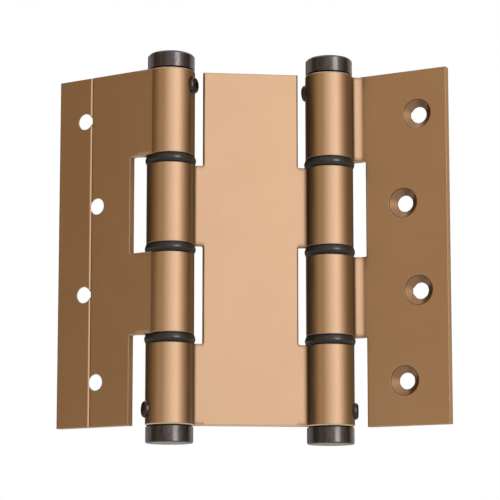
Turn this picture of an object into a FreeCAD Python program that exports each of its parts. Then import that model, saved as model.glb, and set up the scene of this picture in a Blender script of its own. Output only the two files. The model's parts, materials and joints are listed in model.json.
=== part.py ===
import FreeCAD, Part
import os
import Sketcher
from FreeCAD import Placement, Rotation, Vector

# Double action spring hinge: a centre leaf with a barrel at each side, and an outer leaf on each barrel.
# Millimetres, +Z up. The origin is midway between the two barrel axes, at half the leaves' height.
# The jamb leaf is at -X and folds behind the centre leaf. The door leaf is at +X and folds in front of it.

# Driving dimensions: name, value and meaning. Angles are in degrees.
SIZES = [
    ("leaf_height", 120.0, "height of every leaf"),
    ("axis_spacing", 54.0, "between the two barrel axes"),
    ("barrel_diameter", 16.2, "outside of a knuckle"),
    ("bore_diameter", 12.2, "inside of a knuckle"),
    ("knuckle_edge", 0.35, "bevel round each knuckle's end"),
    ("top_knuckle", 29.3, "length of the outer leaf's first knuckle"),
    ("ring_thickness", 2.8, "bearing ring's flange"),
    ("axial_play", 0.08, "free gap above or below each ring"),
    ("leaf_thickness", 2.6, "outer leaf's plate"),
    ("leaf_reach", 40.6, "outer leaf, from its axis to its free edge"),
    ("mounting_offset", 7.7, "from the axis to the outer leaf's mounting face"),
    ("web_reach", 10.0, "from the axis to where the web's slope meets the plate"),
    ("web_angle", 33.0, "slope of the web on the fold side"),
    ("web_root_radius", 1.0, "hollow between web and knuckle"),
    ("centre_thickness", 2.6, "centre leaf's plate"),
    ("centre_root_radius", 0.7, "hollow between centre plate and knuckle"),
    ("outer_clearance", 3.2, "from a barrel to the edge of the outer leaf's notch round it"),
    ("centre_clearance", 2.8, "from a barrel to the edge of the centre leaf's notch round it"),
    ("notch_radius", 0.5, "corner of a notch"),
    ("groove_place", 27.3, "marking groove, from the axis"),
    ("groove_width", 0.9, "marking groove on the mounting face"),
    ("groove_depth", 0.4, "marking groove on the mounting face"),
    ("column_place", 30.0, "outer column of screw holes, from the axis"),
    ("column_step", 5.3, "between the two columns of screw holes"),
    ("hole_pitch", 30.0, "between rows of screw holes"),
    ("hole_diameter", 5.5, "screw hole in an outer leaf"),
    ("sink_diameter", 10.2, "countersink on the fold side, 90 degrees"),
    ("jamb_angle", 37.1, "jamb leaf turned back from flat"),
    ("door_angle", 33.4, "door leaf turned forward from flat"),
    ("cap_inset", 0.15, "head of an end plug inside the barrel's outside, radial"),
    ("cap_height", 5.8, "visible head of an end plug, with its neck"),
    ("tension_bevel", 0.7, "bevel on a tension plug's head"),
    ("anchor_bevel", 0.3, "bevel on an anchor plug's head"),
    ("neck_height", 0.45, "shadow groove between head and knuckle"),
    ("neck_depth", 0.6, "shadow groove between head and knuckle"),
    ("shank_length", 16.0, "end plug inside the barrel"),
    ("shank_fit", 0.05, "plug or ring spigot in the bore, radial"),
    ("key_width", 6.0, "hex socket of a tension plug, across flats"),
    ("key_depth", 4.0, "hex socket of a tension plug"),
    ("spigot_length", 5.0, "bearing ring inside each knuckle"),
    ("spigot_bore", 10.8, "hole through a bearing ring"),
    ("ring_bulge", 0.45, "ring's rim proud of the barrel"),
    ("ring_crest", 0.6, "flat top of the ring's rim"),
    ("ring_foot", 0.05, "ring's flat faces proud of the barrel"),
    ("rod_diameter", 5.0, "axle rod"),
    ("rod_depth", 8.0, "rod's hole in each plug"),
    ("rod_fit", 0.05, "rod in its hole, radial"),
    ("rod_play", 0.4, "free gap at each end of the rod"),
    ("rod_bevel", 0.5, "bevel on the rod's ends"),
    ("wire_width", 1.8, "spring's square wire"),
    ("coil_diameter", 8.4, "spring, at the middle of its wire"),
    ("coil_turns", 22.0, "whole turns of a spring"),
    ("coil_gap", 0.3, "between a coil's end and its plug"),
    ("leg_width", 2.0, "spring's square leg, pressed a little wider than the wire"),
    ("leg_length", 4.0, "spring's leg inside a plug"),
    ("leg_fit", 0.05, "spring's leg in its hole, radial"),
    ("lock_inset", 5.2, "lock screw, from the knuckle's end"),
    ("lock_lean", 10.0, "lock screw, away from straight opposite the leaf"),
    ("lock_diameter", 3.0, "lock screw's shank"),
    ("lock_length", 4.6, "lock screw under its head"),
    ("lock_fit", 0.05, "lock screw in its hole, radial"),
    ("lock_seat", 0.4, "seat of the lock screw's head below the barrel's outside"),
    ("head_diameter", 5.7, "lock screw's head"),
    ("head_height", 1.65, "lock screw's head"),
    ("head_round", 1.2, "dome of the lock screw's head"),
    ("head_key", 2.0, "hex socket of the lock screw, across flats"),
    ("head_key_depth", 0.9, "hex socket of the lock screw"),
]

# Sizes worked out from the driving ones.
BARREL = "sheet.barrel_diameter / 2"
BORE = "sheet.bore_diameter / 2"
SHANK = "(sheet.bore_diameter / 2 - sheet.shank_fit)"
END = "sheet.leaf_height / 2"
GAP = "(sheet.ring_thickness + sheet.axial_play)"
KNUCKLE = f"((sheet.leaf_height - sheet.top_knuckle) / 3 - {GAP})"
SEAT = "(sheet.barrel_diameter / 2 - sheet.lock_seat)"
CAP = "(sheet.barrel_diameter / 2 - sheet.cap_inset)"
INNER_COLUMN = "(sheet.column_place - sheet.column_step)"
LOCK_HOLE = "(sheet.lock_diameter / 2 + sheet.lock_fit)"
FOLD_OFFSET = "(sheet.mounting_offset - sheet.leaf_thickness)"
OUTER_NOTCH = "(sheet.barrel_diameter / 2 + sheet.outer_clearance)"
CENTRE_NOTCH = "(sheet.barrel_diameter / 2 + sheet.centre_clearance)"
COIL_SPAN = f"(2 * ({END} - sheet.shank_length - sheet.coil_gap) - sheet.leg_width)"
# Heights of the knuckles' ends, from the top: outer, centre, outer and centre knuckle.
FIRST_END = f"({END} - sheet.top_knuckle)"
SECOND_START = f"({FIRST_END} - {GAP})"
SECOND_END = f"({SECOND_START} - {KNUCKLE})"
THIRD_START = f"({SECOND_END} - {GAP})"
THIRD_END = f"({THIRD_START} - {KNUCKLE})"
FOURTH_START = f"({THIRD_END} - {GAP})"
HEX_RADIUS_PER_WIDTH = 0.57735
SQUARE_RADIUS_PER_WIDTH = 0.70711
SMALL = 0.01

doc = FreeCAD.newDocument("cafe_hinge")
sheet = doc.addObject("Spreadsheet::Sheet", "sheet")
for row, (alias, number, note) in enumerate(SIZES, start=1):
    sheet.set(f"A{row}", alias)
    sheet.set(f"B{row}", str(number))
    sheet.set(f"C{row}", note)
    sheet.setAlias(f"B{row}", alias)
doc.recompute()
pieces = []


def value(expression):
    """The number that an expression on the sheet gives now."""
    result = sheet.evalExpression(expression.replace("sheet.", ""))
    return float(getattr(result, "Value", result))


def bind(thing, **properties):
    """Ties properties of an object to expressions on the sheet."""
    for name, expression in properties.items():
        thing.setExpression(name, expression)


def new_body(name):
    return doc.addObject("PartDesign::Body", name)


def new_sketch(body, name, role):
    """An empty sketch on one of the body's own origin planes."""
    sketch = body.newObject("Sketcher::SketchObject", name)
    planes = [p for p in body.Origin.OriginFeatures if p.Role == role]
    sketch.AttachmentSupport = (planes[0], "")
    sketch.MapMode = "FlatFace"
    return sketch


def hold_point(sketch, geometry, end, across, up):
    """Ties one point of a sketch to two expressions, measured from the sketch's origin."""
    for kind, expression, axis in (("DistanceX", across, -2), ("DistanceY", up, -1)):
        if expression == "0":
            sketch.addConstraint(Sketcher.Constraint("PointOnObject", geometry, end, axis))
            continue
        rule = Sketcher.Constraint(kind, -1, 1, geometry, end, value(expression))
        index = sketch.addConstraint(rule)
        sketch.setExpression(f"Constraints[{index}]", expression)


def draw_outline(sketch, corners):
    """A closed outline of straight edges through corners given as pairs of expressions."""
    points = [Vector(value(across), value(up), 0) for across, up in corners]
    first = sketch.GeometryCount
    count = len(points)
    for i in range(count):
        sketch.addGeometry(Part.LineSegment(points[i], points[(i + 1) % count]), False)
    for i in range(count):
        following = first + (i + 1) % count
        sketch.addConstraint(Sketcher.Constraint("Coincident", first + i, 2, following, 1))
    for i, (across, up) in enumerate(corners):
        hold_point(sketch, first + i, 1, across, up)


def draw_circle(sketch, across, up, radius):
    centre = Vector(value(across), value(up), 0)
    index = sketch.addGeometry(Part.Circle(centre, Vector(0, 0, 1), value(radius)), False)
    hold_point(sketch, index, 3, across, up)
    rule = sketch.addConstraint(Sketcher.Constraint("Radius", index, value(radius)))
    sketch.setExpression(f"Constraints[{rule}]", radius)


def pad(body, sketch, name):
    """Pads a section over the leaf's whole height, half up and half down."""
    feature = body.newObject("PartDesign::Pad", name)
    feature.Profile = sketch
    feature.Midplane = True
    bind(feature, Length="sheet.leaf_height")
    doc.recompute()
    return feature


def cut_through(body, sketch, name):
    """Cuts a sketch right through the body, both ways."""
    before = body.Shape.Volume
    feature = body.newObject("PartDesign::Pocket", name)
    feature.Profile = sketch
    feature.Midplane = True
    feature.Type = 1
    doc.recompute()
    if body.Shape.Volume > before - SMALL:
        raise RuntimeError(f"{name} cuts nothing")
    return feature


def edge_names(shape, wanted):
    """Names of the edges of a shape for which wanted(edge) is true."""
    names = [f"Edge{i}" for i, edge in enumerate(shape.Edges, start=1) if wanted(edge)]
    if not names:
        raise RuntimeError("no edge found")
    return names


def dress(body, kind, name, edges, size):
    """A fillet or a chamfer on the body's present tip."""
    base = body.Tip
    feature = body.newObject(f"PartDesign::{kind}", name)
    feature.Base = (base, edges)
    prop = "Radius" if kind == "Fillet" else "Size"
    feature.setExpression(prop, size)
    doc.recompute()
    return feature


def turn(body, name, outline):
    """Turns a half section, drawn in the XZ plane, about the Z axis."""
    sketch = new_sketch(body, name + "_section", "XZ_Plane")
    draw_outline(sketch, outline)
    feature = body.newObject("PartDesign::Revolution", name)
    feature.Profile = sketch
    feature.ReferenceAxis = (sketch, ["V_Axis"])
    feature.Angle = 360
    doc.recompute()
    return feature


def ring_edge(radius, height=None):
    """A test for round edges about the Z axis, of one radius and perhaps at one height."""

    def wanted(edge):
        curve = edge.Curve
        if not isinstance(curve, Part.Circle) or abs(curve.Radius - radius) > SMALL:
            return False
        if abs(curve.Axis.z) < 0.99 or edge.Length < radius:
            return False
        return height is None or abs(curve.Center.z - height) < SMALL

    return wanted


def bar(name, radius, length, angle=0.0, **places):
    """A round tool that lies along a radius at an angle about Z, or stands up if the angle is None."""
    tool = doc.addObject("Part::Cylinder", name)
    bind(tool, Radius=radius, Height=length)
    if angle is not None:
        tool.Placement.Rotation = Rotation(Vector(0, 0, 1), angle) * Rotation(Vector(0, 1, 0), 90)
    for axis, expression in places.items():
        tool.setExpression(f"Placement.Base.{axis}", expression)
    return tool


def hex_bar(name, width, length, **places):
    tool = doc.addObject("Part::Prism", name)
    tool.Polygon = 6
    bind(tool, Circumradius=f"{width} * {HEX_RADIUS_PER_WIDTH}", Height=length)
    for axis, expression in places.items():
        tool.setExpression(f"Placement.Base.{axis}", expression)
    return tool


def cut(name, base, tools):
    """The base less its tools, which leaves the base as a part of this object."""
    tool = tools[0]
    if len(tools) > 1:
        tool = doc.addObject("Part::MultiFuse", name + "_tools")
        tool.Shapes = tools
    whole = doc.addObject("Part::Cut", name)
    whole.Base = base
    whole.Tool = tool
    doc.recompute()
    return whole


def place(thing, label, axis_side, height="0", turned="0", upside_down=False):
    """Names a piece and puts it on a barrel's axis: axis_side is -1 for the jamb's, 1 for the door's."""
    thing.Label = label
    flip = Rotation(Vector(1, 0, 0), 180 if upside_down else 0)
    spin = Rotation(Vector(0, 0, 1), value(turned))
    thing.Placement = Placement(Vector(0, 0, 0), spin * flip)
    thing.setExpression("Placement.Base.x", f"{axis_side} * sheet.axis_spacing / 2")
    thing.setExpression("Placement.Base.z", height)
    pieces.append(thing)
    return thing


# Outer leaf, in its own frame: the barrel's axis is Z, the plate runs along +X, its +Y face is mounted.
def web_outline():
    """Plate with the sloped web that thickens it towards the knuckle, and the marking groove."""
    slope = "tan(sheet.web_angle * 1 deg)"
    web_start = f"({FOLD_OFFSET} - (sheet.web_reach - {BORE}) * {slope})"
    groove_low = "(sheet.mounting_offset - sheet.groove_depth)"
    return [
        (BORE, web_start),
        ("sheet.web_reach", FOLD_OFFSET),
        ("sheet.leaf_reach", FOLD_OFFSET),
        ("sheet.leaf_reach", "sheet.mounting_offset"),
        ("sheet.groove_place + sheet.groove_width / 2", "sheet.mounting_offset"),
        ("sheet.groove_place", groove_low),
        ("sheet.groove_place - sheet.groove_width / 2", "sheet.mounting_offset"),
        ("0", "sheet.mounting_offset"),
        ("0", f"{BORE} + ({BARREL} - {BORE}) / 2"),
    ]


def notch_outlines():
    """The two spaces that the centre leaf's knuckles and the rings take up, in the XZ plane."""
    near = f"0 - {OUTER_NOTCH}"
    low = f"0 - {END} - 1"
    return [
        [(near, THIRD_START), (OUTER_NOTCH, THIRD_START), (OUTER_NOTCH, FIRST_END), (near, FIRST_END)],
        [(near, low), (OUTER_NOTCH, low), (OUTER_NOTCH, THIRD_END), (near, THIRD_END)],
    ]


def countersunk_column(body, name, place_along, top_row):
    """Two screw holes, two rows apart, sunk from the fold side."""
    sketch = new_sketch(body, name + "_section", "XY_Plane")
    sink = "(sheet.sink_diameter - sheet.hole_diameter) / 2"
    hole_side = f"({place_along} + sheet.hole_diameter / 2)"
    draw_outline(
        sketch,
        [
            (place_along, f"{FOLD_OFFSET} - 1"),
            (f"{place_along} + sheet.sink_diameter / 2", f"{FOLD_OFFSET} - 1"),
            (f"{place_along} + sheet.sink_diameter / 2", FOLD_OFFSET),
            (hole_side, f"{FOLD_OFFSET} + {sink}"),
            (hole_side, "sheet.mounting_offset + 1"),
            (place_along, "sheet.mounting_offset + 1"),
        ],
    )
    sketch.setExpression("AttachmentOffset.Base.z", top_row)
    last = sketch.GeometryCount - 1
    sketch.addGeometry(sketch.Geometry[last], True)
    axis = last + 1
    sketch.addConstraint(Sketcher.Constraint("Coincident", axis, 1, last, 1))
    sketch.addConstraint(Sketcher.Constraint("Coincident", axis, 2, last, 2))
    before = body.Shape.Volume
    feature = body.newObject("PartDesign::Groove", name)
    feature.Profile = sketch
    feature.ReferenceAxis = (sketch, ["Axis0"])
    feature.Angle = 360
    doc.recompute()
    pattern = body.newObject("PartDesign::LinearPattern", name + "_pair")
    pattern.Originals = [feature]
    pattern.Direction = (sketch, ["N_Axis"])
    pattern.Reversed = True
    pattern.Occurrences = 2
    bind(pattern, Length="2 * sheet.hole_pitch")
    body.Tip = pattern
    doc.recompute()
    if body.Shape.Volume > before - SMALL:
        raise RuntimeError(f"{name} cuts nothing")


def on_barrel(axis_side, angle, radius):
    """Expressions for the place at a radius and an angle about a barrel's axis."""
    along = Rotation(Vector(0, 0, 1), angle).multVec(Vector(1, 0, 0))
    across = f"{axis_side} * sheet.axis_spacing / 2 + {radius} * {along.x:.9f}"
    return {"x": across, "y": f"{radius} * {along.y:.9f}"}


def lock_tools(name, angle, height, axis_side=0):
    """Hole and seat for a lock screw in a knuckle's wall, at an angle about the barrel."""
    seat_radius = "sheet.head_diameter / 2 + sheet.lock_fit"
    middle = on_barrel(axis_side, angle, "0")
    seat = on_barrel(axis_side, angle, SEAT)
    hole = bar(name + "_hole", LOCK_HOLE, BARREL, angle, z=height, **middle)
    spot = bar(name + "_seat", seat_radius, "sheet.lock_seat + 1", angle, z=height, **seat)
    return [hole, spot]


def outer_leaf(label, axis_side, turned):
    """One extrusion: knuckles, web and plate, notched for the centre leaf and drilled for screws."""
    body = new_body(label + "_body")
    section = new_sketch(body, label + "_barrel_section", "XY_Plane")
    draw_circle(section, "0", "0", BARREL)
    pad(body, section, label + "_barrel")
    section = new_sketch(body, label + "_plate_section", "XY_Plane")
    draw_outline(section, web_outline())
    pad(body, section, label + "_plate")
    root_offset = value(FOLD_OFFSET)

    def web_root(edge):
        middle = edge.CenterOfMass
        upright = abs(edge.Length - value("sheet.leaf_height")) < SMALL
        near = abs(middle.Length - value(BARREL)) < SMALL
        return upright and near and 0 < middle.y < root_offset and middle.x > 0

    edges = edge_names(body.Shape, web_root)
    dress(body, "Fillet", label + "_web_root", edges, "sheet.web_root_radius")
    section = new_sketch(body, label + "_bore_section", "XY_Plane")
    draw_circle(section, "0", "0", BORE)
    cut_through(body, section, label + "_bore")
    section = new_sketch(body, label + "_notch_section", "XZ_Plane")
    for outline in notch_outlines():
        draw_outline(section, outline)
    cut_through(body, section, label + "_notches")

    def notch_corner(edge):
        middle = edge.CenterOfMass
        across = abs(edge.Length - value("sheet.leaf_thickness")) < SMALL
        return across and abs(middle.x - value(OUTER_NOTCH)) < SMALL and middle.z > 1 - value(END)

    edges = edge_names(body.Shape, notch_corner)
    dress(body, "Fillet", label + "_notch_corners", edges, "sheet.notch_radius")
    countersunk_column(body, label + "_outer_holes", "sheet.column_place", "1.5 * sheet.hole_pitch")
    countersunk_column(body, label + "_inner_holes", INNER_COLUMN, "0.5 * sheet.hole_pitch")
    edges = edge_names(body.Shape, ring_edge(value(BARREL)))
    dress(body, "Chamfer", label + "_knuckle_ends", edges, "sheet.knuckle_edge")
    angle = 180 + value("sheet.lock_lean")
    whole = cut(label, body, lock_tools(label + "_lock", angle, f"{END} - sheet.lock_inset"))
    return place(whole, label, axis_side, turned=turned)


# Centre leaf: a plate between two barrels, with knuckles where the outer leaves have notches.
def centre_notches(side):
    """The two spaces beside a barrel that the outer leaf's knuckles and the rings take up."""
    axis = f"{side} * sheet.axis_spacing / 2"
    edge = f"{axis} - {side} * {CENTRE_NOTCH}"
    far = f"{axis} + {side} * {CENTRE_NOTCH}"
    return [
        [(edge, SECOND_START), (far, SECOND_START), (far, f"{END} + 1"), (edge, f"{END} + 1")],
        [(edge, FOURTH_START), (far, FOURTH_START), (far, SECOND_END), (edge, SECOND_END)],
    ]


def centre_leaf():
    body = new_body("centre_leaf_body")
    section = new_sketch(body, "centre_plate_section", "XY_Plane")
    half, side = "sheet.centre_thickness / 2", "sheet.axis_spacing / 2"
    corners = [(f"0 - {side}", f"0 - {half}"), (side, f"0 - {half}"), (side, half), (f"0 - {side}", half)]
    draw_outline(section, corners)
    pad(body, section, "centre_plate")
    section = new_sketch(body, "centre_barrel_section", "XY_Plane")
    for axis_side in (-1, 1):
        draw_circle(section, f"{axis_side} * {side}", "0", BARREL)
    pad(body, section, "centre_barrels")

    def plate_root(edge):
        middle = edge.CenterOfMass
        upright = abs(edge.Length - value("sheet.leaf_height")) < SMALL
        return upright and abs(abs(middle.y) - value(half)) < SMALL

    edges = edge_names(body.Shape, plate_root)
    dress(body, "Fillet", "centre_plate_roots", edges, "sheet.centre_root_radius")
    section = new_sketch(body, "centre_bore_section", "XY_Plane")
    for axis_side in (-1, 1):
        draw_circle(section, f"{axis_side} * {side}", "0", BORE)
    cut_through(body, section, "centre_bores")
    section = new_sketch(body, "centre_notch_section", "XZ_Plane")
    for axis_side in (-1, 1):
        for outline in centre_notches(axis_side):
            draw_outline(section, outline)
    cut_through(body, section, "centre_notches")

    def notch_corner(edge):
        middle = edge.CenterOfMass
        across = abs(edge.Length - value("sheet.centre_thickness")) < SMALL
        inside = abs(middle.z) < value(END) - 1
        return across and inside and abs(abs(middle.x) - value(f"{side} - {CENTRE_NOTCH}")) < SMALL

    edges = edge_names(body.Shape, notch_corner)
    dress(body, "Fillet", "centre_notch_corners", edges, "sheet.notch_radius")
    edges = edge_names(body.Shape, ring_edge(value(BARREL)))
    dress(body, "Chamfer", "centre_knuckle_ends", edges, "sheet.knuckle_edge")
    tools = []
    height = f"sheet.lock_inset - {END}"
    for name, axis_side in (("centre_jamb_lock", -1), ("centre_door_lock", 1)):
        tools += lock_tools(name, centre_lock_angle(axis_side), height, axis_side)
    whole = cut("centre_leaf", body, tools)
    return place(whole, "centre_leaf", 0)


def centre_lock_angle(axis_side):
    """The centre leaf's lock screws lean towards the side that the door leaf folds to."""
    lean = value("sheet.lock_lean")
    return 180 + lean if axis_side < 0 else -lean


# End plug, in its own frame: its head stands on the knuckle's end, at height 0, with its shank below.
def end_plug(label, axis_side, height, lock_angle, upside_down, with_key):
    """Turned plug that holds one end of the rod and of the spring, and takes the lock screw."""
    body = new_body(label + "_body")
    rod_hole = "(sheet.rod_diameter / 2 + sheet.rod_fit)"
    foot = "(0 - sheet.shank_length)"
    bevel = "sheet.tension_bevel" if with_key else "sheet.anchor_bevel"
    outline = [
        (rod_hole, foot),
        (rod_hole, f"{foot} + sheet.rod_depth"),
        ("0", f"{foot} + sheet.rod_depth"),
        ("0", "sheet.cap_height"),
        (f"{CAP} - {bevel}", "sheet.cap_height"),
        (CAP, f"sheet.cap_height - {bevel}"),
        (CAP, "sheet.neck_height"),
        (f"{CAP} - sheet.neck_depth", "sheet.neck_height"),
        (f"{CAP} - sheet.neck_depth", "0"),
        (SHANK, "0"),
        (SHANK, foot),
    ]
    turn(body, label + "_turned", outline)
    thread = bar(label + "_thread", LOCK_HOLE, BORE, 0, z="0 - sheet.lock_inset")
    leg = f"sheet.leg_width * {SQUARE_RADIUS_PER_WIDTH} + sheet.leg_fit"
    leg_depth = "sheet.leg_length + sheet.coil_gap"
    leg_hole = bar(label + "_leg_hole", leg, leg_depth, None, x="0 - sheet.coil_diameter / 2", z=foot)
    tools = [thread, leg_hole]
    if with_key:
        key_floor = "sheet.cap_height - sheet.key_depth"
        tools.append(hex_bar(label + "_key", "sheet.key_width", "sheet.key_depth", z=key_floor))
    whole = cut(label, body, tools)
    return place(whole, label, axis_side, height, f"{lock_angle}", upside_down)


def lock_screw(label, axis_side, height, lock_angle):
    """Button head screw, turned about Z and then laid along a radius with its head on the knuckle's seat."""
    body = new_body(label + "_body")
    shank = "sheet.lock_diameter / 2"
    head = "sheet.head_diameter / 2"
    outline = [
        ("0", "0 - sheet.lock_length"),
        (shank, "0 - sheet.lock_length"),
        (shank, "0"),
        (head, "0"),
        (head, "sheet.head_height"),
        ("0", "sheet.head_height"),
    ]
    turn(body, label + "_turned", outline)
    edges = edge_names(body.Shape, ring_edge(value(head), value("sheet.head_height")))
    dress(body, "Fillet", label + "_dome", edges, "sheet.head_round")
    key_floor = "sheet.head_height - sheet.head_key_depth"
    key = hex_bar(label + "_key", "sheet.head_key", "sheet.head_key_depth", z=key_floor)
    whole = cut(label, body, [key])
    place(whole, label, axis_side, height)
    whole.Placement.Rotation = Rotation(Vector(0, 0, 1), lock_angle) * Rotation(Vector(0, 1, 0), 90)
    for axis, expression in on_barrel(axis_side, lock_angle, SEAT).items():
        whole.setExpression(f"Placement.Base.{axis}", expression)
    return whole


def bearing_ring(label, axis_side, height):
    """Nylon ring between two knuckles, with a spigot into each. Its flange stands on height."""
    body = new_body(label)
    foot = f"({BARREL} + sheet.ring_foot)"
    crest = f"({BARREL} + sheet.ring_bulge)"
    top = "sheet.ring_thickness"
    hole = "sheet.spigot_bore / 2"
    outline = [
        (hole, "0 - sheet.spigot_length"),
        (SHANK, "0 - sheet.spigot_length"),
        (SHANK, "0"),
        (foot, "0"),
        (crest, f"({top} - sheet.ring_crest) / 2"),
        (crest, f"({top} + sheet.ring_crest) / 2"),
        (foot, top),
        (SHANK, top),
        (SHANK, f"{top} + sheet.spigot_length"),
        (hole, f"{top} + sheet.spigot_length"),
    ]
    turn(body, label + "_turned", outline)
    return place(body, label, axis_side, height)


def axle_rod(label, axis_side):
    body = new_body(label)
    half = f"({END} - sheet.shank_length + sheet.rod_depth - sheet.rod_play)"
    radius = "sheet.rod_diameter / 2"
    bevel = "sheet.rod_bevel"
    outline = [
        ("0", f"0 - {half}"),
        (f"{radius} - {bevel}", f"0 - {half}"),
        (radius, f"{bevel} - {half}"),
        (radius, f"{half} - {bevel}"),
        (f"{radius} - {bevel}", half),
        ("0", half),
    ]
    turn(body, label + "_turned", outline)
    return place(body, label, axis_side)


def torsion_spring(label, axis_side, bottom_angle, top_angle):
    """Coil of square wire with a straight leg into each plug. A part turn brings the top leg to its hole."""
    part_turn = (top_angle - bottom_angle) % 360 / 360
    low, high = f"(0 - {COIL_SPAN} / 2)", f"{COIL_SPAN} / 2"
    radius = "sheet.coil_diameter / 2"
    helix = doc.addObject("Part::Helix", label + "_helix")
    turns = f"(sheet.coil_turns + {part_turn:.9f})"
    bind(helix, Height=COIL_SPAN, Radius=radius, Pitch=f"{COIL_SPAN} / {turns}")
    helix.setExpression("Placement.Base.z", low)
    wire = doc.addObject("Part::RegularPolygon", label + "_wire")
    wire.Polygon = 4
    wire.Placement.Rotation = Rotation(Vector(1, 0, 0), 90) * Rotation(Vector(0, 0, 1), 45)
    bind(wire, Circumradius=f"sheet.wire_width * {SQUARE_RADIUS_PER_WIDTH}")
    wire.setExpression("Placement.Base.x", radius)
    wire.setExpression("Placement.Base.z", low)
    coil = doc.addObject("Part::Sweep", label + "_coil")
    coil.Sections = [wire]
    coil.Spine = helix
    coil.Solid = True
    coil.Frenet = True
    shapes = [coil]
    half = "sheet.leg_width / 2"
    length = "sheet.leg_length + sheet.coil_gap"
    low_foot, high_foot = f"{low} - {half} - {length}", f"{high} - {half}"
    for end, angle, foot in (("low", 0, low_foot), ("high", part_turn * 360, high_foot)):
        leg = doc.addObject("Part::Prism", f"{label}_{end}_leg")
        leg.Polygon = 4
        leg.Placement.Rotation = Rotation(Vector(0, 0, 1), angle + 45)
        bind(leg, Circumradius=f"sheet.leg_width * {SQUARE_RADIUS_PER_WIDTH}")
        bind(leg, Height=f"{length} + sheet.leg_width")
        for axis, expression in (*on_barrel(0, angle, radius).items(), ("z", foot)):
            leg.setExpression(f"Placement.Base.{axis}", expression)
        shapes.append(leg)
    whole = doc.addObject("Part::MultiFuse", label)
    whole.Shapes = shapes
    doc.recompute()
    return place(whole, label, axis_side, turned=f"{bottom_angle}")


def build():
    jamb_turn = "180 - sheet.jamb_angle"
    door_turn = "0 - sheet.door_angle"
    outer_leaf("jamb_leaf", -1, jamb_turn)
    outer_leaf("door_leaf", 1, door_turn)
    centre_leaf()
    lean = value("sheet.lock_lean")
    for side_name, axis_side, leaf_turn in (("jamb", -1, jamb_turn), ("door", 1, door_turn)):
        for level, height in (
            ("top", SECOND_START),
            ("middle", f"{SECOND_END} - sheet.ring_thickness"),
            ("bottom", FOURTH_START),
        ):
            bearing_ring(f"{side_name}_{level}_ring", axis_side, height)
        axle_rod(f"{side_name}_axle_rod", axis_side)
        top_angle = value(leaf_turn) + 180 + lean
        low_angle = centre_lock_angle(axis_side)
        end_plug(f"{side_name}_tension_plug", axis_side, END, top_angle, False, True)
        end_plug(f"{side_name}_anchor_plug", axis_side, f"0 - {END}", low_angle, True, False)
        lock_screw(f"{side_name}_top_lock_screw", axis_side, f"{END} - sheet.lock_inset", top_angle)
        lock_screw(f"{side_name}_bottom_lock_screw", axis_side, f"sheet.lock_inset - {END}", low_angle)
        torsion_spring(f"{side_name}_spring", axis_side, low_angle + 180, top_angle + 180)


def save():
    doc.recompute()
    for thing in doc.Objects:
        if "Invalid" in thing.State or "Error" in thing.State:
            raise RuntimeError(f"{thing.Label} is in state {thing.State}")
    os.makedirs("parts", exist_ok=True)
    for piece in pieces:
        shape = piece.Shape
        if shape.isNull() or not shape.isValid() or len(shape.Solids) != 1:
            raise RuntimeError(f"{piece.Label} has no single valid solid")
        shape.exportStep(f"parts/{piece.Label}.step")
        print(f"{piece.Label}: {shape.Volume:.1f} cubic mm")


build()
save()
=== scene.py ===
import json
import math
from functools import cached_property, partial, reduce

import bpy
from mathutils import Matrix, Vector


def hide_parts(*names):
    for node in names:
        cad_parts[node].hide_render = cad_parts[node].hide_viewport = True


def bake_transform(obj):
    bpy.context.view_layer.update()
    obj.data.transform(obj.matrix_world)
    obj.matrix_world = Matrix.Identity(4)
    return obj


MM = 0.001

# Camera, fitted to the photograph.
CAMERA_PLACE = (-0.06780, -0.61975, -0.10898)
CAMERA_AZIMUTH = math.radians(6.232)
CAMERA_ELEVATION = math.radians(7.582)
CAMERA_LENS_MM = 135.22
CAMERA_SENSOR_MM = 36.0
CAMERA_SHIFT_Y = 0.15
CAMERA_NEAR = 0.01

# Floor and world. The world is white where it is seen, and gives this share of that as light.
FLOOR_HEIGHT = -0.25
FLOOR_SIZE = 6.0
FLOOR_GREY = 0.86
FLOOR_ROUGHNESS = 0.8
WORLD_LIGHT = 0.6

# Places that the finishes follow, in millimetres and degrees, as on the solids.
AXIS_X = 27.0
BARREL_RADIUS = 8.1
LEAF_HALF_HEIGHT = 60.0
SINK_RADIUS = 5.1
NECK_HEIGHT = 0.45
# An outer leaf's barrel axis, and the direction in which it reaches from there.
LEAVES = {"jamb_leaf": (-AXIS_X, 142.9), "door_leaf": (AXIS_X, -33.4)}
# A leaf's screw holes, by their reach from the barrel's axis and their height.
HOLES = ((30.0, 45.0), (24.7, 15.0), (30.0, -15.0), (24.7, -45.0))

# Millimetres past a barrel's radius: where its painted shade fades out, where a web starts, where a
# leaf's milled edges start, and where a ring goes from the painted shade at its joints to its own
# colour.
BARREL_FADE = (0.3, 0.9)
WEB_START = 0.25
EDGE_START = 1.0
RING_FADE = (0.1, 0.42)
# A web ends at this distance from the barrel's axis.
WEB_END = 11.5
# Depths below a leaf's end, of the sawn face and of the zone that holds the barrels' chamfers.
SAWN_DEPTH = 0.02
CHAMFER_ZONE = 0.5
# Inside a countersink's edge, where its finish starts and how far its dark rim reaches.
SINK_MARGIN = 0.03
SINK_RIM = 0.22
# Radii over which corners look soft: at edges, and in the hollows between web and barrel.
EDGE_SOFTNESS = 0.45
WEB_SOFTNESS = 2.2

# How square to a direction a surface stands, as a cosine: flat faces more than the first, bore
# walls less than the second.
FLAT_FACE = 0.95
BORE_WALL = 0.3

# A noise's middle range.
NOISE_LOW = 0.3
NOISE_HIGH = 0.7
CLOSENESS_SAMPLES = 8
SOFTNESS_SAMPLES = 6

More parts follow.
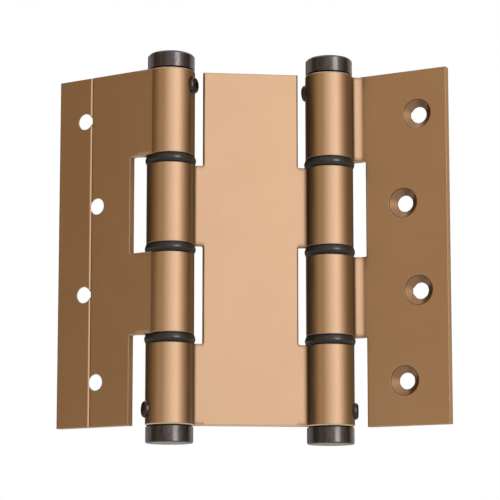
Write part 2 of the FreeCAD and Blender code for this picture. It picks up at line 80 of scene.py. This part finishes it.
# Colours, as red, green and blue from 0 to 255 on screen.
BRONZE_DARK = (202, 163, 129)
BRONZE_LIGHT = (214, 175, 142)
# Painted shade on barrels beside leaves and rings, and on leaves under other leaves.
BRONZE_PAINTED_SHADE = (72, 54, 42)
# A painted highlight on the barrels' end chamfers.
BRONZE_CHAMFER_HIGHLIGHT = (248, 220, 190)
# Milled edges, in a light tone that is partly a painted reflection.
BRONZE_MILLED_REFLECTION = (208, 164, 120)
# Painted shade in the bores and countersinks.
BORE_PAINTED_SHADE = (66, 46, 32)
SINK_BRONZE_SHADE = (168, 128, 96)
SINK_RIM_DARK = (92, 66, 46)
NYLON_DARK = (37, 29, 24)
NYLON_LIGHT = (51, 41, 34)
# Painted shade where a ring meets the knuckles.
NYLON_JOINT_SHADE = (8, 7, 6)
PLUG_DARK = (66, 61, 60)
PLUG_LIGHT = (98, 91, 89)
# Painted shade in a plug's neck.
PLUG_NECK_SHADE = (10, 8, 7)
SCREW_DARK = (58, 50, 46)
SCREW_LIGHT = (84, 74, 68)
ROD_DARK = (178, 178, 180)
ROD_LIGHT = (202, 202, 204)
WIRE_DARK = (96, 94, 96)
WIRE_LIGHT = (140, 138, 138)

# Studio tent: how bright a reflection finds it, by the direction seen from the object.
# Degrees from straight towards the viewer, to the right, round the back and up to the left.
TENT_LEVELS = [
    (0, 0.82),
    (12, 0.90),
    (28, 1.15),
    (42, 1.08),
    (54, 0.74),
    (68, 0.40),
    (88, 0.20),
    (104, 0.18),
    (122, 0.28),
    (138, 0.20),
    (150, 0.10),
    (165, 0.30),
    (180, 0.50),
    (195, 0.30),
    (210, 0.04),
    (235, 0.03),
    (262, 0.13),
    (276, 0.25),
    (290, 0.30),
    (300, 0.585),
    (312, 0.43),
    (322, 0.49),
    (338, 0.82),
    (350, 0.94),
    (360, 0.82),
]
# Dimmer cloth is warmer: the level from which it is white, the least whiteness, and the power
# of the whiteness that each of red, green and blue follows.
TENT_WHITE_LEVEL = 0.8
TENT_LEAST_WHITE = 0.53
TENT_WARMTH = (0.0, 0.43, 1.35)
TENT_ROOF_LEVEL = 0.80
TENT_RADIUS = 2.0
TENT_LOW = -2.2
TENT_HIGH = 2.6
TENT_STEPS = 72


def linear(red, green, blue):
    """A colour given as 0 to 255 on screen, for a shader."""
    channels = []
    for channel in (red, green, blue):
        part = channel / 255
        channels.append(part / 12.92 if part <= 0.04045 else ((part + 0.055) / 1.055) ** 2.4)
    return (*channels, 1.0)


class Shader:
    """A material under way: calls for the nodes that the finishes share, and the colour, metal,
    roughness and normal that a finish has built up so far. Masks are 1 where something is and 0
    elsewhere, and distances that come out of a node are in metres."""

    def __init__(self, name, metal=0.0):
        self.material = bpy.data.materials.new(name)
        self.material.use_nodes = True
        self.nodes = self.material.node_tree.nodes
        self.links = self.material.node_tree.links
        coordinates = self.nodes.new("ShaderNodeTexCoord")
        self.place = coordinates.outputs["Object"]
        self.facing = coordinates.outputs["Normal"]
        self.colour = None
        self.metal = metal
        self.rough = None
        self.normal = None

    def feed(self, socket, given):
        """Links an output to a socket, or sets the socket to a value."""
        if isinstance(given, bpy.types.NodeSocket):
            self.links.new(given, socket)
        else:
            socket.default_value = given

    def math(self, operation, *terms):
        """A number worked out from numbers or outputs."""
        node = self.nodes.new("ShaderNodeMath")
        node.operation = operation
        for socket, given in zip(node.inputs, terms):
            self.feed(socket, given)
        return node.outputs["Value"]

    def total(self, *terms):
        """The sum of some numbers or outputs."""
        return reduce(partial(self.math, "ADD"), terms)

    def product(self, first, second):
        """The product of two numbers or outputs, or where two masks meet."""
        return self.math("MULTIPLY", first, second)

    def least(self, *terms):
        """The smallest of some numbers or outputs."""
        return reduce(partial(self.math, "MINIMUM"), terms)

    def above(self, value, limit):
        """A mask of where a value is over a limit."""
        return self.math("GREATER_THAN", value, limit)

    def below(self, value, limit):
        """A mask of where a value is under a limit."""
        return self.math("LESS_THAN", value, limit)

    def between(self, value, low, high):
        """A mask of where a value lies between two limits."""
        return self.product(self.above(value, low), self.below(value, high))

    def spread(self, source, low, high, from_low=NOISE_LOW, from_high=NOISE_HIGH):
        """Maps a range of an output, or a noise's middle range, to low and high."""
        node = self.nodes.new("ShaderNodeMapRange")
        node.inputs["From Min"].default_value = from_low
        node.inputs["From Max"].default_value = from_high
        node.inputs["To Min"].default_value = low
        node.inputs["To Max"].default_value = high
        self.feed(node.inputs["Value"], source)
        return node.outputs["Result"]

    def choose(self, mask, outside, inside):
        """One number outside a mask and another inside it."""
        return self.spread(mask, outside, inside, from_low=0.0, from_high=1.0)

    def vector(self, operation, *terms, factor=None):
        """A vector, length or product worked out from vectors."""
        node = self.nodes.new("ShaderNodeVectorMath")
        node.operation = operation
        for socket, given in zip(node.inputs, terms):
            self.feed(socket, given)
        if factor is not None:
            self.feed(node.inputs["Scale"], factor)
        return node.outputs["Value" if operation in ("LENGTH", "DOT_PRODUCT") else "Vector"]

    def uprightness(self, vector):
        """How far a vector goes up or down."""
        parts = self.nodes.new("ShaderNodeSeparateXYZ")
        self.feed(parts.inputs["Vector"], vector)
        return self.math("ABSOLUTE", parts.outputs["Z"])

    def squareness(self, direction):
        """How square to a direction the surface stands: 1 facing along it, -1 against it, 0 beside."""
        return self.vector("DOT_PRODUCT", self.facing, direction)

    def line_distance(self, point, along):
        """Distance from a line through a point, both given as three numbers."""
        offset = self.vector("SUBTRACT", self.place, point)
        reach = self.vector("DOT_PRODUCT", offset, along)
        run = self.vector("SCALE", along, factor=reach)
        return self.vector("LENGTH", self.vector("SUBTRACT", offset, run))

    @cached_property
    def barrel_distance(self):
        """Distance from the nearer barrel's axis."""
        axes = [(side * AXIS_X * MM, 0, 0) for side in (-1, 1)]
        return self.least(*[self.line_distance(axis, (0, 0, 1)) for axis in axes])

    @cached_property
    def height(self):
        """Distance above or below the hinge's middle."""
        return self.uprightness(self.place)

    def noise(self, grain_mm, detail=2.0, stretch=(1, 1, 1)):
        """Noise with grains of a size in millimetres, drawn out along an axis by stretch."""
        mapping = self.nodes.new("ShaderNodeMapping")
        mapping.inputs["Scale"].default_value = [1 / factor for factor in stretch]
        self.feed(mapping.inputs["Vector"], self.place)
        texture = self.nodes.new("ShaderNodeTexNoise")
        texture.inputs["Scale"].default_value = 1 / (grain_mm * MM)
        texture.inputs["Detail"].default_value = detail
        self.feed(texture.inputs["Vector"], mapping.outputs["Vector"])
        return texture.outputs["Fac"]

    def turning_marks(self, distance, pitch_mm):
        """A wave of a pitch in millimetres, from -1 to 1, that follows a distance."""
        return self.math("SINE", self.product(distance, 2 * math.pi / (pitch_mm * MM)))

    def closeness(self, reach_mm, most, shut, clear):
        """0 in the open, and up to most where other surfaces stand within reach. Shut and clear are
        the shares left open at which it is most and 0."""
        node = self.nodes.new("ShaderNodeAmbientOcclusion")
        node.inputs["Distance"].default_value = reach_mm * MM
        node.samples = CLOSENESS_SAMPLES
        return self.spread(node.outputs["AO"], most, 0.0, from_low=shut, from_high=clear)

    def blend(self, factor, first, second):
        """Mixes two colours, each an output or three numbers from 0 to 255."""
        node = self.nodes.new("ShaderNodeMix")
        node.data_type = "RGBA"
        self.feed(node.inputs["Factor"], factor)
        # A Mix node's sockets for colours follow those for numbers and vectors.
        first_socket, second_socket = node.inputs[6:8]
        for socket, given in ((first_socket, first), (second_socket, second)):
            self.feed(socket, linear(*given) if isinstance(given, tuple) else given)
        return node.outputs[2]

    def paint(self, mask, colour):
        """Lays a colour over the surface inside a mask."""
        self.colour = self.blend(mask, self.colour, colour)

    def roughen(self, mask, amount):
        """Makes the surface rougher inside a mask."""
        self.rough = self.total(self.rough, self.product(mask, amount))

    def soften_corners(self, radius):
        """Turns normals softly at corners, outer and inner, over a radius in metres."""
        node = self.nodes.new("ShaderNodeBevel")
        node.samples = SOFTNESS_SAMPLES
        self.feed(node.inputs["Radius"], radius)
        self.normal = node.outputs["Normal"]

    def emboss(self, relief, depth_mm, strength):
        """Raises the surface by its relief, on top of what is embossed already."""
        node = self.nodes.new("ShaderNodeBump")
        node.inputs["Distance"].default_value = depth_mm * MM
        node.inputs["Strength"].default_value = strength
        self.feed(node.inputs["Height"], relief)
        if self.normal is not None:
            self.feed(node.inputs["Normal"], self.normal)
        self.normal = node.outputs["Normal"]

    def done(self):
        """The material, with what was built up joined to its surface."""
        surface = self.nodes["Principled BSDF"]
        self.feed(surface.inputs["Base Color"], self.colour)
        self.feed(surface.inputs["Metallic"], self.metal)
        self.feed(surface.inputs["Roughness"], self.rough)
        self.feed(surface.inputs["Normal"], self.normal)
        return self.material


def past_barrel(distance_mm):
    """The distance from a barrel's axis, in metres, at some millimetres past its radius."""
    return (BARREL_RADIUS + distance_mm) * MM


def etch_bronze(shader):
    """The etch's fine grain, faint lines along the extrusion, and corners softened by the etch."""
    grain = shader.noise(grain_mm=0.25, detail=3.0)
    lines = shader.noise(grain_mm=0.5, stretch=(1, 1, 60))
    cloud = shader.noise(grain_mm=18.0)
    tone = shader.total(
        shader.spread(grain, 0.0, 0.6),
        shader.spread(lines, 0.0, 0.15),
        shader.spread(cloud, 0.0, 0.25),
    )
    shader.colour = shader.blend(tone, BRONZE_DARK, BRONZE_LIGHT)
    shader.rough = shader.total(shader.spread(grain, 0.29, 0.35), shader.spread(lines, -0.01, 0.01))
    on_web = shader.between(shader.barrel_distance, past_barrel(WEB_START), WEB_END * MM)
    shader.soften_corners(shader.choose(on_web, EDGE_SOFTNESS * MM, WEB_SOFTNESS * MM))
    shader.emboss(grain, depth_mm=0.010, strength=0.5)
    shader.emboss(lines, depth_mm=0.002, strength=0.3)


def paint_shade_on_bronze(shader):
    """Painted shade: barrels darken beside a leaf or a ring, and leaves where another leaf lies close
    over them.
    """
    fade_start, fade_end = (past_barrel(distance) for distance in BARREL_FADE)
    on_barrel = shader.spread(shader.barrel_distance, 1.0, 0.0, from_low=fade_start, from_high=fade_end)
    off_barrel = shader.math("SUBTRACT", 1.0, on_barrel)
    # Painted shade, by how little of the open each surface sees.
    beside = shader.closeness(reach_mm=14.0, most=0.9, shut=0.5, clear=0.92)
    shader.paint(shader.product(beside, on_barrel), BRONZE_PAINTED_SHADE)
    under = shader.closeness(reach_mm=8.0, most=0.85, shut=0.2, clear=0.75)
    shader.paint(shader.product(under, off_barrel), BRONZE_PAINTED_SHADE)


def saw_ends_and_paint_highlights(shader):
    """Saw marks on the cut ends, and a painted highlight on the chamfers round the barrels' outer ends.
    """
    saw = shader.noise(grain_mm=0.18, stretch=(40, 1, 1))
    sawn = shader.above(shader.height, (LEAF_HALF_HEIGHT - SAWN_DEPTH) * MM)
    shader.roughen(sawn, 0.06)
    shader.emboss(shader.product(saw, sawn), depth_mm=0.02, strength=0.5)
    sloped = shader.between(shader.uprightness(shader.facing), BORE_WALL, FLAT_FACE)
    at_end = shader.above(shader.height, (LEAF_HALF_HEIGHT - CHAMFER_ZONE) * MM)
    chamfer = shader.product(sloped, at_end)
    # Painted highlight: the chamfers are painted bright and less metallic.
    shader.paint(chamfer, BRONZE_CHAMFER_HIGHLIGHT)
    shader.metal = shader.choose(chamfer, outside=shader.metal, inside=0.3)


def hole_lines(leaf):
    """Centre lines of a leaf's screw holes, each as a point and a direction."""
    side, degrees = LEAVES[leaf]
    angle = math.radians(degrees)
    along = (-math.sin(angle), math.cos(angle), 0)
    lines = []
    for reach, height in HOLES:
        x = side + reach * math.cos(angle)
        y = reach * math.sin(angle)
        lines.append(((x * MM, y * MM, height * MM), along))
    return lines


def turn_countersinks_and_paint_shade(shader, leaf):
    """Bores painted dark as shade, and countersinks painted darker than the bronze as shade, with
    turning marks and a dark rim, which open against the direction of the holes."""
    lines = hole_lines(leaf)
    _, along = lines[0]
    from_hole = shader.least(*[shader.line_distance(*line) for line in lines])
    at_hole = shader.below(from_hole, (SINK_RADIUS - SINK_MARGIN) * MM)
    facing = shader.squareness(along)
    upright = shader.below(shader.math("ABSOLUTE", facing), BORE_WALL)
    # Painted shade on the bore walls.
    shader.paint(shader.product(at_hole, upright), BORE_PAINTED_SHADE)
    in_sink = shader.product(at_hole, shader.between(facing, -FLAT_FACE, -BORE_WALL))
    # Painted shade: the countersinks are darker than the bronze.
    shader.paint(in_sink, SINK_BRONZE_SHADE)
    shader.roughen(in_sink, 0.07)
    marks = shader.turning_marks(from_hole, pitch_mm=0.22)
    shader.emboss(shader.product(marks, in_sink), depth_mm=0.006, strength=0.5)
    at_rim = shader.above(from_hole, (SINK_RADIUS - SINK_RIM) * MM)
    shader.paint(shader.product(in_sink, at_rim), SINK_RIM_DARK)


def mill_edges_and_paint_reflection(shader, leaf):
    """Duller milled faces at a leaf's outer edge and notches, which stand square to its reach, in a
    light tone that is partly a painted reflection.
    """
    angle = math.radians(LEAVES[leaf][1])
    facing = shader.math("ABSOLUTE", shader.squareness((math.cos(angle), math.sin(angle), 0)))
    off_barrel = shader.above(shader.barrel_distance, past_barrel(EDGE_START))
    milled = shader.product(off_barrel, shader.above(facing, FLAT_FACE))
    # Partly painted reflection: the milled faces take a light, duller tone.
    shader.paint(milled, BRONZE_MILLED_REFLECTION)
    shader.roughen(milled, 0.15)
    shader.metal = shader.least(shader.metal, shader.choose(milled, outside=1.0, inside=0.25))


def bronze(leaf=None):
    """Satin anodised aluminium with painted shade and chamfer highlights, and the holes and milled
    edges of an outer leaf, with their painted shade and reflection, if one is named.
    """
    shader = Shader("satin_bronze" if leaf is None else f"satin_bronze_{leaf}", metal=1.0)
    etch_bronze(shader)
    paint_shade_on_bronze(shader)
    saw_ends_and_paint_highlights(shader)
    if leaf is not None:
        turn_countersinks_and_paint_shade(shader, leaf)
        mill_edges_and_paint_reflection(shader, leaf)
    return shader.done()


def nylon():
    """Moulded black nylon, a little polished by the knuckles, with painted shade beside them."""
    shader = Shader("black_nylon")
    grain = shader.noise(grain_mm=0.3, detail=3.0)
    rub = shader.noise(grain_mm=1.6, stretch=(3, 3, 0.4))
    fade_start, fade_end = (past_barrel(distance) for distance in RING_FADE)
    proud = shader.spread(shader.barrel_distance, 0.0, 1.0, from_low=fade_start, from_high=fade_end)
    own_colour = shader.blend(shader.spread(grain, 0.0, 1.0), NYLON_DARK, NYLON_LIGHT)
    # Painted shade at the ring's joints with the knuckles, fading to its own colour.
    shader.colour = shader.blend(proud, NYLON_JOINT_SHADE, own_colour)
    shader.rough = shader.total(
        shader.spread(grain, 0.17, 0.24),
        shader.spread(rub, -0.05, 0.08),
        shader.choose(proud, outside=0.3, inside=0.0),
    )
    shader.emboss(grain, depth_mm=0.012, strength=0.5)
    return shader.done()


def plug_metal():
    """Dark plating on turned steel, with turning rings on ends and sides and painted shade in the neck.
    """
    shader = Shader("dark_plug", metal=0.9)
    grain = shader.noise(grain_mm=0.3)
    streak = shader.noise(grain_mm=0.5, detail=3.0, stretch=(1, 1, 8))
    mottle = shader.noise(grain_mm=1.1)
    tone = shader.total(shader.spread(grain, 0.0, 0.4), shader.spread(streak, 0.0, 0.6))
    shader.colour = shader.blend(tone, PLUG_DARK, PLUG_LIGHT)
    shader.rough = shader.total(shader.spread(grain, 0.18, 0.25), shader.spread(mottle, -0.04, 0.06))
    in_neck_shade = shader.below(shader.height, (LEAF_HALF_HEIGHT + NECK_HEIGHT) * MM)
    # Painted shade: the neck is painted near black.
    shader.paint(in_neck_shade, PLUG_NECK_SHADE)
    shader.roughen(in_neck_shade, 0.5)
    side_rings = shader.noise(grain_mm=0.3, detail=1.0, stretch=(40, 40, 1))
    shader.emboss(side_rings, depth_mm=0.006, strength=0.4)
    end_rings = shader.turning_marks(shader.barrel_distance, pitch_mm=0.35)
    shader.emboss(end_rings, depth_mm=0.003, strength=0.4)
    return shader.done()


def plain_metal(name, metal, colours, roughness, depth_mm, **noise):
    """A metal whose colour, roughness and relief all follow one noise. Its colours and roughness
    each go from a first value to a second."""
    shader = Shader(name, metal=metal)
    grain = shader.noise(**noise)
    shader.colour = shader.blend(shader.spread(grain, 0.0, 1.0), *colours)
    shader.rough = shader.spread(grain, *roughness)
    shader.emboss(grain, depth_mm=depth_mm, strength=0.3)
    return shader.done()


def screw_metal():
    """Blackened steel."""
    return plain_metal(
        "blackened_steel",
        metal=0.9,
        colours=(SCREW_DARK, SCREW_LIGHT),
        roughness=(0.22, 0.34),
        depth_mm=0.006,
        grain_mm=0.2,
        detail=3.0,
    )


def rod_steel():
    """Ground steel with fine grinding rings."""
    return plain_metal(
        "ground_steel",
        metal=1.0,
        colours=(ROD_DARK, ROD_LIGHT),
        roughness=(0.18, 0.28),
        depth_mm=0.004,
        grain_mm=0.12,
        stretch=(60, 60, 1),
    )


def spring_steel():
    """Oiled spring wire with drawing marks."""
    return plain_metal(
        "spring_wire",
        metal=1.0,
        colours=(WIRE_DARK, WIRE_LIGHT),
        roughness=(0.22, 0.36),
        depth_mm=0.008,
        grain_mm=0.35,
        detail=3.0,
    )


FINISHES = {
    "bronze": bronze,
    "nylon": nylon,
    "plug": plug_metal,
    "screw": screw_metal,
    "rod": rod_steel,
    "spring": spring_steel,
}


def dress(frame):
    """Gives every CAD node the finish of its material slot, and each outer leaf one of its own."""
    made = {name: make() for name, make in FINISHES.items()}
    made.update({leaf: bronze(leaf) for leaf in LEAVES})
    for part in frame["record"]["subparts"]:
        name = part["node"]
        node = bpy.data.objects[name]
        node.data.materials.clear()
        node.data.materials.append(made[name] if name in LEAVES else made[part["material_slot"]])
        # The satin leaves hardly mirror each other.
        node.visible_glossy = part["material_slot"] != "bronze"


def wind_springs():
    """In the hinge, the springs wind up as their leaf turns, between the foot in the anchor plug, which
    stays on the centre body, and the foot in the tension plug, which turns with the leaf. Here each
    spring node is hidden and a copy with its placement baked in takes its place; the copy does not
    wind."""
    for name, (axis_x, _) in LEAVES.items():
        leaf_body = name.removesuffix("_leaf")
        node = bpy.data.objects[f"{leaf_body}_spring"]
        spring = bpy.data.objects.new(f"{leaf_body}_winding_spring", node.data.copy())
        bpy.context.collection.objects.link(spring)
        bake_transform(spring)
        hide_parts(node.name)


def ray_of_any_kind(nodes, links, kinds):
    """1 for a ray of any of the named kinds, and 0 for others."""
    path = nodes.new("ShaderNodeLightPath")
    total = path.outputs[kinds[0]]
    for kind in kinds[1:]:
        node = nodes.new("ShaderNodeMath")
        node.operation = "MAXIMUM"
        links.new(total, node.inputs[0])
        links.new(path.outputs[kind], node.inputs[1])
        total = node.outputs["Value"]
    return total


def set_world():
    """White where it is seen or reflected, and a plainer level for the light that it gives."""
    world = bpy.data.worlds.new("studio")
    bpy.context.scene.world = world
    world.use_nodes = True
    nodes, links = world.node_tree.nodes, world.node_tree.links
    background = nodes["Background"]
    seen = ray_of_any_kind(nodes, links, ("Is Camera Ray", "Is Glossy Ray", "Is Transmission Ray"))
    strength = nodes.new("ShaderNodeMapRange")
    strength.inputs["To Min"].default_value = WORLD_LIGHT
    strength.inputs["To Max"].default_value = 1.0
    links.new(seen, strength.inputs["Value"])
    background.inputs["Color"].default_value = (1, 1, 1, 1)
    links.new(strength.outputs["Result"], background.inputs["Strength"])


def add_floor():
    """Plain pale floor below the camera."""
    bpy.ops.mesh.primitive_plane_add(size=FLOOR_SIZE, location=(0, 0, FLOOR_HEIGHT))
    floor = bpy.context.object
    floor.name = "floor"
    material = bpy.data.materials.new("floor_paint")
    material.use_nodes = True
    paint = material.node_tree.nodes["Principled BSDF"]
    paint.inputs["Base Color"].default_value = (FLOOR_GREY, FLOOR_GREY, FLOOR_GREY, 1)
    paint.inputs["Roughness"].default_value = FLOOR_ROUGHNESS
    floor.data.materials.append(material)


def glowing_cloth(name):
    """A material that only gives off light, and its glow."""
    material = bpy.data.materials.new(name)
    material.use_nodes = True
    nodes, links = material.node_tree.nodes, material.node_tree.links
    nodes.remove(nodes["Principled BSDF"])
    glow = nodes.new("ShaderNodeEmission")
    links.new(glow.outputs["Emission"], nodes["Material Output"].inputs["Surface"])
    return material, glow


def wall_cloth():
    """Cloth whose level follows the direction from the tent's axis."""
    material, glow = glowing_cloth("tent_cloth")
    nodes, links = material.node_tree.nodes, material.node_tree.links
    place = nodes.new("ShaderNodeTexCoord")
    # The gradient starts at -X, and the levels start towards the viewer, at -Y.
    turned = nodes.new("ShaderNodeMapping")
    turned.inputs["Rotation"].default_value = (0, 0, -math.pi / 2)
    links.new(place.outputs["Object"], turned.inputs["Vector"])
    angle = nodes.new("ShaderNodeTexGradient")
    angle.gradient_type = "RADIAL"
    links.new(turned.outputs["Vector"], angle.inputs["Vector"])
    ramp = nodes.new("ShaderNodeValToRGB")
    stops = ramp.color_ramp.elements
    while len(stops) > 1:
        stops.remove(stops[-1])
    for i, (degrees, level) in enumerate(TENT_LEVELS):
        stop = stops[0] if i == 0 else stops.new(degrees / 360)
        stop.position = degrees / 360
        whiteness = min(max(level / TENT_WHITE_LEVEL, TENT_LEAST_WHITE), 1.0)
        stop.color = (*[level * whiteness ** power for power in TENT_WARMTH], 1)
    links.new(angle.outputs["Fac"], ramp.inputs["Fac"])
    links.new(ramp.outputs["Color"], glow.inputs["Color"])
    return material


def roof_cloth():
    """Cloth of one level."""
    material, glow = glowing_cloth("tent_roof_cloth")
    glow.inputs["Strength"].default_value = TENT_ROOF_LEVEL
    return material


def tent_mesh():
    """A round wall, and a flat roof as its last face."""
    corners, faces = [], []
    for i in range(TENT_STEPS):
        angle = 2 * math.pi * i / TENT_STEPS
        x, y = TENT_RADIUS * math.sin(angle), -TENT_RADIUS * math.cos(angle)
        corners += [(x, y, TENT_LOW), (x, y, TENT_HIGH)]
        first, second = 2 * i, 2 * ((i + 1) % TENT_STEPS)
        faces.append((first, second, second + 1, first + 1))
    faces.append([2 * i + 1 for i in range(TENT_STEPS)])
    mesh = bpy.data.meshes.new("tent")
    mesh.from_pydata(corners, [], faces)
    mesh.materials.append(wall_cloth())
    mesh.materials.append(roof_cloth())
    mesh.polygons[-1].material_index = 1
    return mesh


def add_tent():
    """Grey cloth round the object, seen only by its reflections."""
    tent = bpy.data.objects.new("tent", tent_mesh())
    bpy.context.collection.objects.link(tent)
    tent.visible_camera = False
    tent.visible_diffuse = False
    tent.visible_shadow = False
    tent.visible_transmission = False


def aim(holder, direction):
    """Turns a lamp or the camera to look in a direction, with its top up."""
    holder.rotation_mode = "QUATERNION"
    holder.rotation_quaternion = direction.to_track_quat("-Z", "Y")


def add_lamp(name, place, size, watts, lit=None):
    """A soft lamp, of a width and a height, that looks at the object and lights all of it, or only
    the nodes that are named."""
    lamp = bpy.data.lights.new(name, "AREA")
    lamp.shape = "RECTANGLE"
    lamp.size, lamp.size_y = size
    lamp.energy = watts
    holder = bpy.data.objects.new(name, lamp)
    bpy.context.collection.objects.link(holder)
    holder.location = place
    holder.visible_camera = False
    aim(holder, -Vector(place))
    if lit is not None:
        receivers = bpy.data.collections.new(f"{name}_lights")
        for node in lit:
            receivers.objects.link(bpy.data.objects[node])
        holder.light_linking.receiver_collection = receivers


def add_lamps(frame):
    """A soft key, a fill from behind, a tall lamp that gives the dark pieces their gloss, and two
    lamps from behind that give the plugs bright rims."""
    slot_of = {part["node"]: part["material_slot"] for part in frame["record"]["subparts"]}
    dark_pieces = [node for node, slot in slot_of.items() if slot in ("plug", "nylon", "screw")]
    plugs = [node for node, slot in slot_of.items() if slot == "plug"]
    add_lamp("key", place=(0.45, -1.5, 0.25), size=(1.2, 1.2), watts=2.0)
    add_lamp("back_fill", place=(0.2, 1.2, 1.3), size=(0.9, 0.9), watts=3.0)
    add_lamp("gloss", place=(0.60, -1.27, 0.25), size=(0.55, 1.6), watts=11.0, lit=dark_pieces)
    add_lamp("left_rim", place=(-1.23, 0.86, 0.1), size=(1.4, 1.4), watts=4.5, lit=plugs)
    add_lamp("right_rim", place=(1.23, 0.86, 0.1), size=(1.4, 1.4), watts=4.5, lit=plugs)


def add_camera():
    """The camera, at the photograph's place and angle."""
    camera = bpy.data.cameras.new("camera")
    camera.lens = CAMERA_LENS_MM
    camera.sensor_width = CAMERA_SENSOR_MM
    camera.shift_y = CAMERA_SHIFT_Y
    camera.clip_start = CAMERA_NEAR
    holder = bpy.data.objects.new("camera", camera)
    bpy.context.collection.objects.link(holder)
    holder.location = CAMERA_PLACE
    level = math.cos(CAMERA_ELEVATION)
    across, ahead = level * math.sin(CAMERA_AZIMUTH), level * math.cos(CAMERA_AZIMUTH)
    aim(holder, Vector((across, ahead, math.sin(CAMERA_ELEVATION))))
    bpy.context.scene.camera = holder


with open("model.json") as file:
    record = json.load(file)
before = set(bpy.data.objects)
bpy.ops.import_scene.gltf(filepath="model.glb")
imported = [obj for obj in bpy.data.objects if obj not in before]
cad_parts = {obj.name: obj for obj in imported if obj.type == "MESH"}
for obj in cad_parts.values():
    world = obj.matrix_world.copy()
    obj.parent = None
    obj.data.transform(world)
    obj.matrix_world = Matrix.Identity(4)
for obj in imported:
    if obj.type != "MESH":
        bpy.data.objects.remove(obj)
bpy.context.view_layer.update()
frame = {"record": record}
dress(frame)
wind_springs()
set_world()
add_floor()
add_tent()
add_lamps(frame)
add_camera()
bpy.context.scene.view_settings.view_transform = "Standard"
